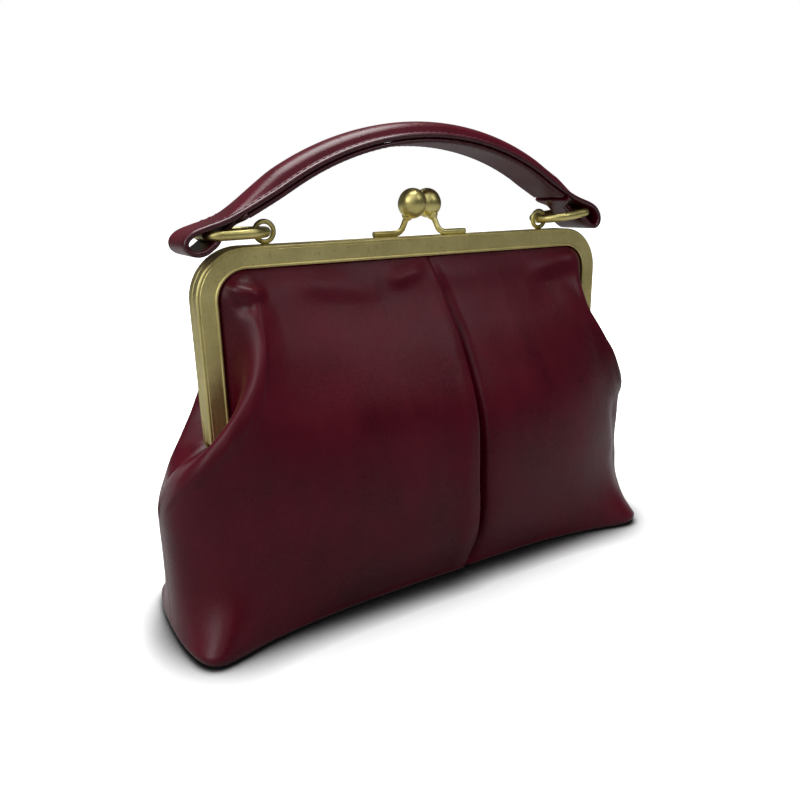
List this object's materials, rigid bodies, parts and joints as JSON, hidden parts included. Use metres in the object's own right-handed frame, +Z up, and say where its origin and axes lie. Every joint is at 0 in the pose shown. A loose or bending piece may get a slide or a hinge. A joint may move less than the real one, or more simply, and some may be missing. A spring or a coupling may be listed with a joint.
{
  "type": "kiss lock frame purse",
  "caption": "Leather frame purse with a hinged brass mouth, a ball clasp that snaps shut, and a padded top handle on D-rings.",
  "frame": {"origin": "middle of the purse's outline on the table, under the base", "axes": "+X along the frame toward the right leg as seen from the front, +Y to the back, +Z up toward the handle"},
  "size_m": [0.247, 0.074, 0.2016],
  "materials": {
    "aged_brass": "brushed, aged, satin",
    "bright_brass": "polished, lightly aged",
    "wine_leather": "smooth, soft sheen, fine grain",
    "lining_cloth": "plain woven, matte",
    "paper_cord": "twisted, matte",
    "cotton_core": "soft, matte",
    "grey_board": "dense, matte"
  },
  "bodies": {
    "pouch": {"front_leather_bottom": "wine_leather", "rear_leather_bottom": "wine_leather", "pouch_lining": "lining_cloth", "base_leather": "wine_leather", "base_board": "grey_board"},
    "front_half": {"front_frame": "aged_brass", "front_stem": "aged_brass", "rear_collar": "aged_brass", "rear_ball": "bright_brass", "front_paper_cord": "paper_cord", "front_leather_top": "wine_leather", "front_lining_top": "lining_cloth"},
    "rear_half": {"rear_frame": "aged_brass", "hinge_rivets": "aged_brass", "rear_stem": "aged_brass", "front_collar": "aged_brass", "front_ball": "bright_brass", "left_lug": "aged_brass", "right_lug": "aged_brass", "rear_paper_cord": "paper_cord", "rear_leather_top": "wine_leather", "rear_lining_top": "lining_cloth"},
    "handle": {"handle_strap": "wine_leather", "handle_lining": "wine_leather", "handle_core": "cotton_core"},
    "left_ring": {"left_d_ring": "bright_brass"},
    "right_ring": {"right_d_ring": "bright_brass"}
  },
  "joints": [
    {"name": "rear_open", "type": "hinge", "parent": "pouch", "child": "rear_half", "pos_m": [0, 0, 0.0724], "axis": [-1, 0, 0], "range_deg": [0, 34]},
    {"name": "front_open", "type": "hinge", "parent": "pouch", "child": "front_half", "pos_m": [0, 0, 0.0724], "axis": [1, 0, 0], "range_deg": [0, 34]},
    {"name": "handle_fold", "type": "hinge", "parent": "rear_half", "child": "handle", "pos_m": [0, 0.0027, 0.15918], "axis": [1, 0, 0], "range_deg": [-28, 17]},
    {"name": "left_ring_rock", "type": "hinge", "parent": "handle", "child": "left_ring", "pos_m": [-0.0953, 0.0027, 0.15875], "axis": [0, 1, 0], "range_deg": [-1, 1]},
    {"name": "right_ring_rock", "type": "hinge", "parent": "handle", "child": "right_ring", "pos_m": [0.09514, 0.0027, 0.16193], "axis": [0, 1, 0], "range_deg": [-1, 1]}
  ],
  "couplings": [
    {"joint": "front_open", "follows": "rear_open", "ratio": 1}
  ]
}
